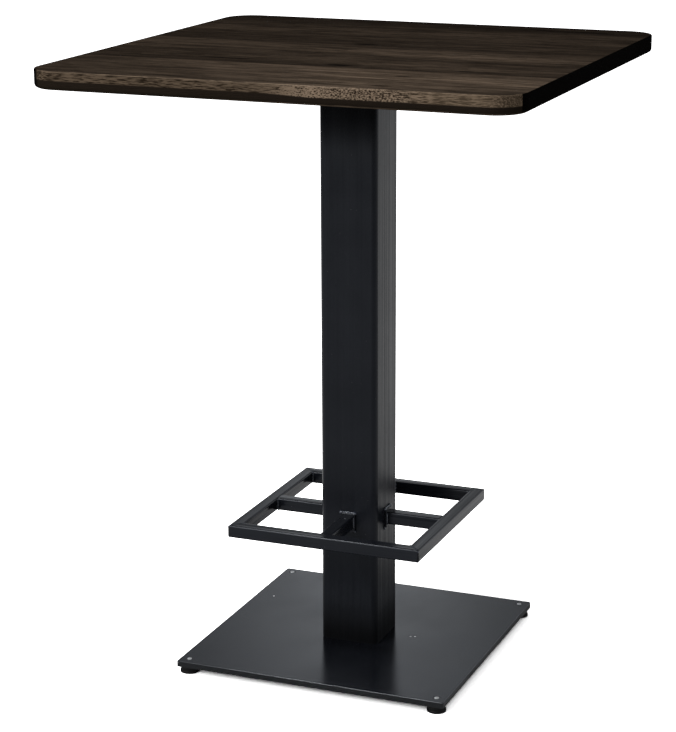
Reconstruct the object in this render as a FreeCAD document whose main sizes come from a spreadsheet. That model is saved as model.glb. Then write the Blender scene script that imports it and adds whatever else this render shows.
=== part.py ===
import FreeCAD, Part
import Sketcher
import math
import os

# A square pub table: a staved oak top on a square steel column, which stands on a flat steel base with
# four levelling feet and carries a square footrest frame on four spokes.
#
# Millimetres, +Z up.  The origin is on the floor under the middle of the table, and -Y is the front.

DOCUMENT = FreeCAD.newDocument("PubTable")

# ---------------------------------------------------------------------------------------------------------
# Driving dimensions
# ---------------------------------------------------------------------------------------------------------

SIZES = (
    # oak top
    ("table_height", 1040.0),
    ("top_width", 800.0),
    ("top_thickness", 30.0),
    ("top_corner_radius", 50.0),
    ("top_under_radius", 7.0),
    ("top_rim_chamfer", 1.2),
    ("stave_width", 130.0),
    ("front_stave_width", 65.0),
    # steel plate under the top, welded to the head of the column
    ("carrier_width", 360.0),
    ("carrier_thickness", 6.0),
    ("carrier_corner_clip", 20.0),
    # column
    ("column_width", 102.0),
    ("column_wall", 4.0),
    ("column_corner_radius", 10.0),
    # steel flange inside the foot of the column
    ("flange_thickness", 10.0),
    ("flange_clearance", 0.25),
    # base plate
    ("base_width", 480.0),
    ("base_thickness", 10.0),
    ("base_corner_radius", 4.0),
    ("base_edge_chamfer", 0.8),
    ("base_floor_gap", 12.0),
    # footrest frame
    ("footrest_width", 342.0),
    ("footrest_height", 230.0),
    ("footrest_tube", 22.0),
    ("footrest_wall", 2.0),
    ("footrest_tube_radius", 2.8),
    ("lug_width", 26.0),
    ("lug_height", 32.0),
    ("lug_thickness", 4.5),
    ("lug_chamfer", 0.8),
    # hexagon bolts, up through the base plate into the flange
    ("base_bolt_radius", 5.0),
    ("base_bolt_length", 18.0),
    ("base_bolt_spacing", 52.0),
    ("base_bolt_flats", 16.0),
    ("base_bolt_head_height", 6.4),
    # hexagon wood screws, up through the carrier plate into the top
    ("wood_screw_radius", 3.0),
    ("wood_screw_length", 27.0),
    ("wood_screw_point", 5.0),
    ("wood_screw_inset", 25.0),
    ("wood_screw_flats", 10.0),
    ("wood_screw_head_height", 4.0),
    ("pilot_hole_spare", 2.0),
    # how bolts and screws fit their holes
    ("screw_hole_clearance", 0.5),
    ("screw_thread_clearance", 0.05),
    # levelling feet
    ("foot_inset", 17.0),
    ("foot_pad_radius", 16.0),
    ("foot_pad_floor", 3.0),
    ("foot_pad_clearance", 0.5),
    ("foot_screw_radius", 4.0),
    ("foot_screw_proud", 0.8),
    ("foot_screw_clearance", 0.05),
    ("foot_screw_slot_width", 1.4),
    ("foot_screw_slot_depth", 1.6),
)

# The sides and corners of the table, seen from above and counted against the clock from the front
SIDES = ("front", "right", "back", "left")
CORNERS = (("front_left", -1, -1), ("front_right", 1, -1), ("back_right", 1, 1), ("back_left", -1, 1))


def make_sheet():
    """Write each driving dimension in a cell of its own, under its name."""
    sheet = DOCUMENT.addObject("Spreadsheet::Sheet", "Sizes")
    for row, (name, value) in enumerate(SIZES, start=1):
        sheet.set(f"A{row}", name)
        sheet.set(f"B{row}", str(value))
        sheet.setAlias(f"B{row}", name)
    DOCUMENT.recompute()
    return sheet


SHEET = make_sheet()


class Size:
    """A length as a number, together with the expression that reads it from the sheet."""

    def __init__(self, value, text):
        self.value = value
        self.text = text

    def __add__(self, other):
        return Size(self.value + other.value, f"({self.text} + {other.text})")

    def __sub__(self, other):
        return Size(self.value - other.value, f"({self.text} - {other.text})")

    def __mul__(self, factor):
        if self is ZERO:
            return ZERO
        return Size(self.value * factor, f"({self.text} * {factor})")

    def __truediv__(self, divisor):
        return Size(self.value / divisor, f"({self.text} / {divisor})")

    def __neg__(self):
        return self * -1


def size(name):
    """The length that the sheet holds under that name."""
    return Size(float(SHEET.get(name)), f"Sizes.{name}")


ZERO = Size(0.0, "0")

# How far a cutting shape reaches past what it cuts
OVERRUN = Size(5.0, "5")

# Heights and places that several pieces share
BASE_TOP = size("base_floor_gap") + size("base_thickness")
TOP_UNDERSIDE = size("table_height") - size("top_thickness")
COLUMN_TOP = TOP_UNDERSIDE - size("carrier_thickness")
COLUMN_INNER_WIDTH = size("column_width") - size("column_wall") * 2
COLUMN_INNER_RADIUS = size("column_corner_radius") - size("column_wall")
BASE_BOLT_PLACE = size("base_bolt_spacing") / 2
FOOTREST_AXIS_HEIGHT = BASE_TOP + size("footrest_height") - size("footrest_tube") / 2
FOOTREST_INNER_FACE = size("footrest_width") / 2 - size("footrest_tube")
LUG_FACE = size("column_width") / 2 + size("lug_thickness")
WOOD_SCREW_PLACE = size("carrier_width") / 2 - size("wood_screw_inset")
FOOT_PLACE = size("base_width") / 2 - size("foot_inset")
FOOT_PAD_TOP = size("base_floor_gap") - size("foot_pad_clearance")

# ---------------------------------------------------------------------------------------------------------
# Sketches
# ---------------------------------------------------------------------------------------------------------


def bind(item, path, value):
    """Drive one property of an object from the sheet."""
    item.setExpression(path, value.text)


def new_body(label):
    """An empty body."""
    body = DOCUMENT.addObject("PartDesign::Body", label)
    body.Label = label
    return body


def origin_feature(body, role):
    """One of the body's own origin planes or axes."""
    return [item for item in body.Origin.OriginFeatures if item.Role == role][0]


def sketch_on(body, plane, name, x=ZERO, y=ZERO, z=ZERO):
    """A sketch on an origin plane of the body, moved to a place given in the body's own axes."""
    sketch = body.newObject("Sketcher::SketchObject", f"{body.Name}_{name}")
    sketch.AttachmentSupport = [(origin_feature(body, plane), "")]
    sketch.MapMode = "FlatFace"
    across, up, out = {
        "XY_Plane": (x, y, z),
        "XZ_Plane": (x, z, -y),
        "YZ_Plane": (y, z, x),
    }[plane]
    bind(sketch, "AttachmentOffset.Base.x", across)
    bind(sketch, "AttachmentOffset.Base.y", up)
    bind(sketch, "AttachmentOffset.Base.z", out)
    return sketch


def set_length(sketch, constraint, value):
    """Add a dimension to a sketch and drive it from the sheet."""
    index = sketch.addConstraint(Sketcher.Constraint(*constraint, value.value))
    bind(sketch, f"Constraints[{index}]", value)


def hold_point(sketch, geometry, point, x, y):
    """Hold one point of a sketch at a place measured from the sketch's origin."""
    for kind, axis, value in (("DistanceX", -2, x), ("DistanceY", -1, y)):
        if value is ZERO:
            sketch.addConstraint(Sketcher.Constraint("PointOnObject", geometry, point, axis))
        else:
            set_length(sketch, (kind, -1, 1, geometry, point), value)


def add_polygon(sketch, corners):
    """A closed outline of straight lines through the given corners."""
    points = [FreeCAD.Vector(x.value, y.value, 0) for x, y in corners]
    lines = []
    for start, end in zip(points, points[1:] + points[:1]):
        lines.append(sketch.addGeometry(Part.LineSegment(start, end), False))
    for line, next_line in zip(lines, lines[1:] + lines[:1]):
        sketch.addConstraint(Sketcher.Constraint("Coincident", line, 2, next_line, 1))
    for line, (x, y) in zip(lines, corners):
        hold_point(sketch, line, 1, x, y)


def add_rectangle(sketch, width, height):
    """A sharp-cornered rectangle about the sketch's origin."""
    right = width / 2
    top = height / 2
    add_polygon(sketch, ((-right, -top), (right, -top), (right, top), (-right, top)))


def add_clipped_square(sketch, width, clip):
    """A square about the sketch's origin with its four corners cut off."""
    half = width / 2
    inner = half - clip
    add_polygon(
        sketch,
        (
            (half, -inner),
            (half, inner),
            (inner, half),
            (-inner, half),
            (-half, inner),
            (-half, -inner),
            (-inner, -half),
            (inner, -half),
        ),
    )


def add_rounded_square(sketch, width, radius):
    """A square about the sketch's origin with its four corners rounded."""
    half = width.value / 2
    inner = half - radius.value
    turns = ((0, -1), (1, 0), (0, 1), (-1, 0))
    lines = []
    arcs = []
    for quarter, (x, y) in enumerate(turns):
        start = FreeCAD.Vector(x * half + y * inner, y * half - x * inner, 0)
        end = FreeCAD.Vector(x * half - y * inner, y * half + x * inner, 0)
        lines.append(sketch.addGeometry(Part.LineSegment(start, end), False))
        centre = FreeCAD.Vector((x - y) * inner, (x + y) * inner, 0)
        circle = Part.Circle(centre, FreeCAD.Vector(0, 0, 1), radius.value)
        first_angle = math.radians(90 * (quarter - 1))
        last_angle = math.radians(90 * quarter)
        arcs.append(sketch.addGeometry(Part.ArcOfCircle(circle, first_angle, last_angle), False))
    for line, arc, next_line in zip(lines, arcs, lines[1:] + lines[:1]):
        sketch.addConstraint(Sketcher.Constraint("Tangent", line, 2, arc, 1))
        sketch.addConstraint(Sketcher.Constraint("Tangent", arc, 2, next_line, 1))
    for arc in arcs[1:]:
        sketch.addConstraint(Sketcher.Constraint("Equal", arcs[0], arc))
    set_length(sketch, ("Radius", arcs[0]), radius)
    for line, (x, y) in zip(lines, turns):
        direction = "Horizontal" if x == 0 else "Vertical"
        sketch.addConstraint(Sketcher.Constraint(direction, line))
        kind = "DistanceY" if x == 0 else "DistanceX"
        set_length(sketch, (kind, -1, 1, line, 1), width / 2 * (x + y))


def add_circle(sketch, x, y, radius):
    """A circle held by its centre and radius."""
    centre = FreeCAD.Vector(x.value, y.value, 0)
    circle = sketch.addGeometry(Part.Circle(centre, FreeCAD.Vector(0, 0, 1), radius.value), False)
    hold_point(sketch, circle, 3, x, y)
    set_length(sketch, ("Radius", circle), radius)


def add_corner_circles(sketch, place, radius):
    """Four circles, each as far from the sketch's origin along both axes."""
    for _, side_x, side_y in CORNERS:
        add_circle(sketch, place * side_x, place * side_y, radius)


def add_hexagon(sketch, across_flats):
    """A regular hexagon about the sketch's origin, with two of its corners on the X axis."""
    corner = across_flats / math.sqrt(3)
    half_flat = across_flats / 2
    add_polygon(
        sketch,
        (
            (corner, ZERO),
            (corner / 2, half_flat),
            (-corner / 2, half_flat),
            (-corner, ZERO),
            (-corner / 2, -half_flat),
            (corner / 2, -half_flat),
        ),
    )


# ---------------------------------------------------------------------------------------------------------
# Features
# ---------------------------------------------------------------------------------------------------------


def pad(sketch, length, both_ways=False, backward=False):
    """Extrude a sketch along its normal, evenly to both sides of it, or against its normal."""
    feature = sketch.getParentGeoFeatureGroup().newObject("PartDesign::Pad", f"{sketch.Name}_pad")
    feature.Profile = sketch
    bind(feature, "Length", length)
    feature.SideType = "Symmetric" if both_ways else "One side"
    feature.Reversed = backward
    DOCUMENT.recompute()
    return feature


def pocket(sketch, depth, along_normal=False, both_ways=False):
    """Cut a sketch into its body, against the sketch's normal unless told otherwise."""
    body = sketch.getParentGeoFeatureGroup()
    volume_before = body.Shape.Volume
    feature = body.newObject("PartDesign::Pocket", f"{sketch.Name}_pocket")
    feature.Profile = sketch
    bind(feature, "Length", depth)
    feature.SideType = "Symmetric" if both_ways else "One side"
    feature.Reversed = along_normal
    DOCUMENT.recompute()
    if feature.Shape.Volume >= volume_before:
        raise RuntimeError(f"{feature.Name} cuts nothing")
    return feature


def revolve(sketch):
    """Turn a sketch about its own vertical axis."""
    body = sketch.getParentGeoFeatureGroup()
    feature = body.newObject("PartDesign::Revolution", f"{sketch.Name}_revolution")
    feature.Profile = sketch
    feature.ReferenceAxis = (sketch, ["V_Axis"])
    feature.Angle = 360
    DOCUMENT.recompute()
    return feature


def repeat_four_times(body, features):
    """Copy features about the body's Z axis, a quarter of a turn apart."""
    pattern = body.newObject("PartDesign::PolarPattern", f"{body.Name}_pattern")
    pattern.Originals = features
    pattern.Axis = (origin_feature(body, "Z_Axis"), [""])
    pattern.Angle = 360
    pattern.Occurrences = 4
    body.Tip = pattern
    DOCUMENT.recompute()


def edges_at_height(shape, height):
    """Names of the edges that lie flat at a height."""
    names = []
    for number, edge in enumerate(shape.Edges, start=1):
        box = edge.BoundBox
        if max(abs(box.ZMin - height.value), abs(box.ZMax - height.value)) < 1e-4:
            names.append(f"Edge{number}")
    return names


def edges_round_face(shape, outward):
    """Names of the edges that bound the flat face looking in a direction."""
    face = [face for face in shape.Faces if face.normalAt(0, 0).dot(outward) > 0.99][0]
    names = []
    for number, edge in enumerate(shape.Edges, start=1):
        if any(edge.isSame(bound) for bound in face.Edges):
            names.append(f"Edge{number}")
    return names


def dress(body, kind, names, value):
    """Round ("Fillet") or bevel ("Chamfer") edges of the body's last feature."""
    base = body.Tip
    feature = body.newObject(f"PartDesign::{kind}", f"{base.Name}_{kind.lower()}")
    feature.Base = (base, names)
    bind(feature, "Radius" if kind == "Fillet" else "Size", value)
    DOCUMENT.recompute()


def place(item, x, y, z, quarter_turns=0):
    """Put a sub-part where it belongs, after turning it about Z by quarters of a turn."""
    item.Placement.Rotation = FreeCAD.Rotation(FreeCAD.Vector(0, 0, 1), 90 * quarter_turns)
    bind(item, "Placement.Base.x", x)
    bind(item, "Placement.Base.y", y)
    bind(item, "Placement.Base.z", z)
    DOCUMENT.recompute()


def place_on_side(item, side, distance, height):
    """Put a sub-part that was made facing +X on one side of the column, at a distance from its axis."""
    outward = {"front": (0, -1), "right": (1, 0), "back": (0, 1), "left": (-1, 0)}[side]
    x, y = (ZERO if part == 0 else distance * part for part in outward)
    place(item, x, y, height, SIDES.index(side) - 1)


# ---------------------------------------------------------------------------------------------------------
# Oak top: staves glued edge to edge, shaped as one panel
# ---------------------------------------------------------------------------------------------------------


def make_top_panel():
    """The shape that the glued staves share: round corners, eased rim, round underside and pilot holes."""
    body = new_body("top_panel")
    outline = sketch_on(body, "XY_Plane", "outline")
    add_rounded_square(outline, size("top_width"), size("top_corner_radius"))
    pad(outline, size("top_thickness"))
    dress(body, "Fillet", edges_at_height(body.Shape, ZERO), size("top_under_radius"))
    dress(body, "Chamfer", edges_at_height(body.Shape, size("top_thickness")), size("top_rim_chamfer"))
    pilots = sketch_on(body, "XY_Plane", "pilots")
    add_corner_circles(pilots, WOOD_SCREW_PLACE, size("wood_screw_radius") + size("screw_thread_clearance"))
    bite = size("wood_screw_length") - size("carrier_thickness")
    pocket(pilots, bite + size("pilot_hole_spare"), along_normal=True)
    place(body, ZERO, ZERO, TOP_UNDERSIDE)
    return body


def glue_lines():
    """Where staves meet, from the front edge back: a narrow stave, then as many full ones as fit."""
    lines = []
    line = size("front_stave_width")
    while line.value < size("top_width").value:
        lines.append(line)
        line = line + size("stave_width")
    return lines


def make_stave(panel, number, start, end):
    """One stave of the panel, between two distances from the middle of the top."""
    label = f"tabletop_stave_{number}"
    board = DOCUMENT.addObject("Part::Box", f"{label}_board")
    bind(board, "Length", size("top_width") + OVERRUN * 2)
    bind(board, "Width", end - start)
    bind(board, "Height", size("top_thickness") + OVERRUN * 2)
    place(board, -size("top_width") / 2 - OVERRUN, start, TOP_UNDERSIDE - OVERRUN)
    stave = DOCUMENT.addObject("Part::Common", label)
    stave.Label = label
    stave.Base = panel
    stave.Tool = board
    DOCUMENT.recompute()
    return stave


def make_staves():
    """All staves of the top, counted from the front."""
    panel = make_top_panel()
    half = size("top_width") / 2
    cuts = [-half - OVERRUN] + [line - half for line in glue_lines()] + [half + OVERRUN]
    staves = []
    for number, (start, end) in enumerate(zip(cuts[:-1], cuts[1:]), start=1):
        staves.append(make_stave(panel, number, start, end))
    return staves


# ---------------------------------------------------------------------------------------------------------
# Plates and column
# ---------------------------------------------------------------------------------------------------------


def make_carrier_plate():
    """Flat steel plate between the column and the top, with its corners cut off."""
    body = new_body("top_carrier_plate")
    outline = sketch_on(body, "XY_Plane", "outline")
    add_clipped_square(outline, size("carrier_width"), size("carrier_corner_clip"))
    add_corner_circles(outline, WOOD_SCREW_PLACE, size("wood_screw_radius") + size("screw_hole_clearance"))
    pad(outline, size("carrier_thickness"))
    place(body, ZERO, ZERO, COLUMN_TOP)
    return body


def make_column_tube():
    """Square tube with round corners, from the base plate to the carrier plate."""
    body = new_body("column_tube")
    section = sketch_on(body, "XY_Plane", "section")
    add_rounded_square(section, size("column_width"), size("column_corner_radius"))
    add_rounded_square(section, COLUMN_INNER_WIDTH, COLUMN_INNER_RADIUS)
    pad(section, COLUMN_TOP - BASE_TOP)
    place(body, ZERO, ZERO, BASE_TOP)
    return body


def make_column_flange():
    """Tapped plate welded into the foot of the column, its corners cut off to clear the tube's."""
    body = new_body("column_flange")
    section = sketch_on(body, "XY_Plane", "section")
    add_clipped_square(section, COLUMN_INNER_WIDTH - size("flange_clearance") * 2, COLUMN_INNER_RADIUS)
    add_corner_circles(section, BASE_BOLT_PLACE, size("base_bolt_radius") + size("screw_thread_clearance"))
    pad(section, size("flange_thickness"))
    place(body, ZERO, ZERO, BASE_TOP)
    return body


def make_base_plate():
    """Flat square steel plate, eased on top, drilled for its bolts and tapped for the levelling feet."""
    body = new_body("base_plate")
    outline = sketch_on(body, "XY_Plane", "outline")
    add_rounded_square(outline, size("base_width"), size("base_corner_radius"))
    thickness = size("base_thickness")
    pad(outline, thickness)
    dress(body, "Chamfer", edges_at_height(body.Shape, thickness), size("base_edge_chamfer"))
    holes = sketch_on(body, "XY_Plane", "holes")
    add_corner_circles(holes, BASE_BOLT_PLACE, size("base_bolt_radius") + size("screw_hole_clearance"))
    add_corner_circles(holes, FOOT_PLACE, size("foot_screw_radius") + size("foot_screw_clearance"))
    pocket(holes, thickness, along_normal=True)
    place(body, ZERO, ZERO, size("base_floor_gap"))
    return body


# ---------------------------------------------------------------------------------------------------------
# Bolts and screws of the plates: each node holds a set of four, heads down
# ---------------------------------------------------------------------------------------------------------


def make_hexagon_set(label, screw, centre, height, shank_end):
    """Four hexagon-headed screws at the corners of a square, their heads against the plate above them.

    The shank's end is a list of corners of its profile, from the outside in."""
    body = new_body(label)
    head_outline = sketch_on(body, "XY_Plane", "head", centre, centre)
    add_hexagon(head_outline, size(f"{screw}_flats"))
    head = pad(head_outline, size(f"{screw}_head_height"), backward=True)
    profile = sketch_on(body, "XZ_Plane", "shank", centre, centre)
    end_of_axis = (ZERO, size(f"{screw}_length"))
    add_polygon(profile, [(ZERO, ZERO), (size(f"{screw}_radius"), ZERO), *shank_end, end_of_axis])
    shank = revolve(profile)
    repeat_four_times(body, [head, shank])
    place(body, ZERO, ZERO, height)
    return body


def make_base_bolts():
    """Bolts that hold the base plate to the flange in the column."""
    shank_end = [(size("base_bolt_radius"), size("base_bolt_length"))]
    return make_hexagon_set("base_bolts", "base_bolt", BASE_BOLT_PLACE, size("base_floor_gap"), shank_end)


def make_wood_screws():
    """Pointed screws that hold the top to its carrier plate."""
    shank_end = [(size("wood_screw_radius"), size("wood_screw_length") - size("wood_screw_point"))]
    return make_hexagon_set("wood_screws", "wood_screw", WOOD_SCREW_PLACE, COLUMN_TOP, shank_end)


# ---------------------------------------------------------------------------------------------------------
# Footrest frame: four mitred rails, carried by four spokes on lugs
# ---------------------------------------------------------------------------------------------------------


def add_tube_section(sketch):
    """The section of the footrest's square tube, rounded outside and sharp inside."""
    tube = size("footrest_tube")
    inside = tube - size("footrest_wall") * 2
    add_rounded_square(sketch, tube, size("footrest_tube_radius"))
    add_rectangle(sketch, inside, inside)


def make_rail(side):
    """One side of the frame, made along Y with its outer face towards +X, mitred at both ends."""
    body = new_body(f"footrest_rail_{side}")
    section = sketch_on(body, "XZ_Plane", "section")
    add_tube_section(section)
    pad(section, size("footrest_width"), both_ways=True)
    tube = size("footrest_tube")
    end = size("footrest_width") / 2
    outer = tube * 1.5
    mitres = sketch_on(body, "XY_Plane", "mitres")
    for way in (-1, 1):
        add_polygon(
            mitres,
            (
                (outer, (end + tube) * way),
                (-outer, (end + tube) * way),
                (-outer, (end - tube * 2) * way),
            ),
        )
    pocket(mitres, tube * 2, both_ways=True)
    place_on_side(body, side, FOOTREST_INNER_FACE + tube / 2, FOOTREST_AXIS_HEIGHT)
    return body


def make_spoke(side):
    """A square tube from a lug on the column to the middle of a rail, made along +X."""
    body = new_body(f"footrest_spoke_{side}")
    section = sketch_on(body, "YZ_Plane", "section")
    add_tube_section(section)
    pad(section, FOOTREST_INNER_FACE - LUG_FACE)
    place_on_side(body, side, LUG_FACE, FOOTREST_AXIS_HEIGHT)
    return body


def make_lug(side):
    """A small plate, welded flat on the column with a spoke on its outer face, made facing +X."""
    body = new_body(f"footrest_lug_{side}")
    outline = sketch_on(body, "YZ_Plane", "outline")
    add_rectangle(outline, size("lug_width"), size("lug_height"))
    pad(outline, size("lug_thickness"))
    rim = edges_round_face(body.Shape, FreeCAD.Vector(1, 0, 0))
    dress(body, "Chamfer", rim, size("lug_chamfer"))
    place_on_side(body, side, size("column_width") / 2, FOOTREST_AXIS_HEIGHT)
    return body


# ---------------------------------------------------------------------------------------------------------
# Levelling feet: a pad that stays still on the floor while the screw inside it turns
# ---------------------------------------------------------------------------------------------------------


def make_foot_pad(corner, side_x, side_y):
    """Round moulded pad with a blind socket for the end of the foot screw."""
    body = new_body(f"foot_pad_{corner}")
    outer = size("foot_pad_radius")
    bore = size("foot_screw_radius") + size("foot_screw_clearance")
    floor = size("foot_pad_floor")
    profile = sketch_on(body, "XZ_Plane", "profile")
    add_polygon(
        profile,
        (
            (ZERO, ZERO),
            (outer, ZERO),
            (outer, FOOT_PAD_TOP),
            (bore, FOOT_PAD_TOP),
            (bore, floor),
            (ZERO, floor),
        ),
    )
    revolve(profile)
    place(body, FOOT_PLACE * side_x, FOOT_PLACE * side_y, ZERO)
    return body


def make_foot_screw(corner, side_x, side_y):
    """Screw that stands in the pad's socket and ends in a slot, just proud of the base plate."""
    body = new_body(f"foot_screw_{corner}")
    radius = size("foot_screw_radius")
    length = BASE_TOP + size("foot_screw_proud") - size("foot_pad_floor")
    section = sketch_on(body, "XY_Plane", "section")
    add_circle(section, ZERO, ZERO, radius)
    pad(section, length)
    slot = sketch_on(body, "XY_Plane", "slot", z=length)
    add_rectangle(slot, radius * 3, size("foot_screw_slot_width"))
    pocket(slot, size("foot_screw_slot_depth"))
    place(body, FOOT_PLACE * side_x, FOOT_PLACE * side_y, size("foot_pad_floor"))
    return body


# ---------------------------------------------------------------------------------------------------------
# The table
# ---------------------------------------------------------------------------------------------------------


def make_table():
    """Every piece of the table, from the floor up."""
    pieces = []
    for corner in CORNERS:
        pieces.append(make_foot_pad(*corner))
        pieces.append(make_foot_screw(*corner))
    pieces.append(make_base_plate())
    pieces.append(make_base_bolts())
    pieces.append(make_column_flange())
    pieces.append(make_column_tube())
    for side in SIDES:
        pieces.append(make_lug(side))
        pieces.append(make_spoke(side))
        pieces.append(make_rail(side))
    pieces.append(make_carrier_plate())
    pieces.append(make_wood_screws())
    pieces.extend(make_staves())
    return pieces


def check_document():
    """Stop if any object of the document failed to compute."""
    DOCUMENT.recompute()
    for item in DOCUMENT.Objects:
        if "Invalid" in item.State or "Error" in item.State:
            raise RuntimeError(f"{item.Label} failed: {item.State}")


def check_piece(piece):
    """Stop if a piece has no shape or an unsound one."""
    if piece.Shape.isNull() or not piece.Shape.isValid() or not piece.Shape.Solids:
        raise RuntimeError(f"{piece.Label} has no sound shape")


TABLE = make_table()
check_document()
for table_piece in TABLE:
    check_piece(table_piece)
os.makedirs("parts", exist_ok=True)
for table_piece in TABLE:
    table_piece.Shape.exportStep(f"parts/{table_piece.Label}.step")
    print(f"{table_piece.Label}: {len(table_piece.Shape.Solids)} solid(s)")
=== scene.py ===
import math
import random

import bmesh
import bpy
from mathutils import Matrix, Vector


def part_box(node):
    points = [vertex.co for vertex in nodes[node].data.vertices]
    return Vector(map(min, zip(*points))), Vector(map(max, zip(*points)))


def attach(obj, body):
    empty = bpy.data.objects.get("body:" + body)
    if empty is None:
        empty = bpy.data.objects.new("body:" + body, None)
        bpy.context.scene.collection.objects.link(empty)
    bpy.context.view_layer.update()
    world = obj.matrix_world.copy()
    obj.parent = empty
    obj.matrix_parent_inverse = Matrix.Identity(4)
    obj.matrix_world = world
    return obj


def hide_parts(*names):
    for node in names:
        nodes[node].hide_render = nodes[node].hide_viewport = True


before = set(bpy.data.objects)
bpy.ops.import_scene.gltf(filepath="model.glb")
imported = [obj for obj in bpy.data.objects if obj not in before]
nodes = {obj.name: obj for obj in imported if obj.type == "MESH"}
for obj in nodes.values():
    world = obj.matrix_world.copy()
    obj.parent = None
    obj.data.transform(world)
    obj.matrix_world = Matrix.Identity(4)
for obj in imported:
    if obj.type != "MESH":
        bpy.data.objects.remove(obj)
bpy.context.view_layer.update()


# ---------------------------------------------------------------------------------------------------------
# Camera
# A long lens looks down on the table from the front right, from about the height of a person's eyes. Its
# angles are in radians, and its focal length is in pixels of a picture as high as the frame.
# ---------------------------------------------------------------------------------------------------------

camera_place = Vector((1.33461, -3.39248, 1.51128))
camera_heading = -0.3846
camera_dip = 0.2696
camera_roll = -0.0040
focal_pixels = 2226.44
frame_pixels = 732

forward = Vector((
    math.sin(camera_heading) * math.cos(camera_dip),
    math.cos(camera_heading) * math.cos(camera_dip),
    -math.sin(camera_dip),
))
level_right = Vector((math.cos(camera_heading), -math.sin(camera_heading), 0))
level_up = level_right.cross(forward)
right = level_right * math.cos(camera_roll) + level_up * math.sin(camera_roll)
up = level_up * math.cos(camera_roll) - level_right * math.sin(camera_roll)

bpy.ops.object.select_all(action="DESELECT")
bpy.ops.object.camera_add()
camera = bpy.context.object
camera.name = "camera"
camera.data.sensor_width = 36
camera.data.lens = camera.data.sensor_width * focal_pixels / frame_pixels
camera.data.clip_end = 50
camera.matrix_world = Matrix.Translation(camera_place) @ Matrix((right, up, -forward)).transposed().to_4x4()
bpy.context.scene.camera = camera
bpy.context.scene.view_settings.view_transform = "Standard"


# ---------------------------------------------------------------------------------------------------------
# Studio
# A white floor under a light tent, whose roof is dimmer than its walls. The walls are dim on either side of
# a narrow bright strip behind the table. One softbox hangs overhead, a larger one lights the front of the
# table, and a small one above the front draws highlights along its edges.
# ---------------------------------------------------------------------------------------------------------

# How bright the floor is: to the camera, as it lights the table, and in mirrors, where it brightens from
# front to back and is shaded near the table
floor_size = 40
floor_seen = 3.6
floor_as_lit = 0.6
floor_mirrored = (0.55, 1.40)
floor_brightens_over = (-1.2, 0.4)
floor_shade = 0.25
floor_shade_fades_over = (0.40, 0.65)

# How bright the tent is: to soft light and in mirrors, where its roof starts at a slope above the level and
# its walls change with how far they lie aside from the bright strip
tent_ambient = 0.5
tent_cast = (0.92, 0.955, 1.0)
tent_roof = 0.42
roof_starts_over = (0.355, 0.43)
wall_across = (0.9305, 0.3663, 0)
wall_dim = 0.2
wall_dims_over = (0.005, 0.075)
wall_dark_to = 0.22
wall_bright_from = 0.50


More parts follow.
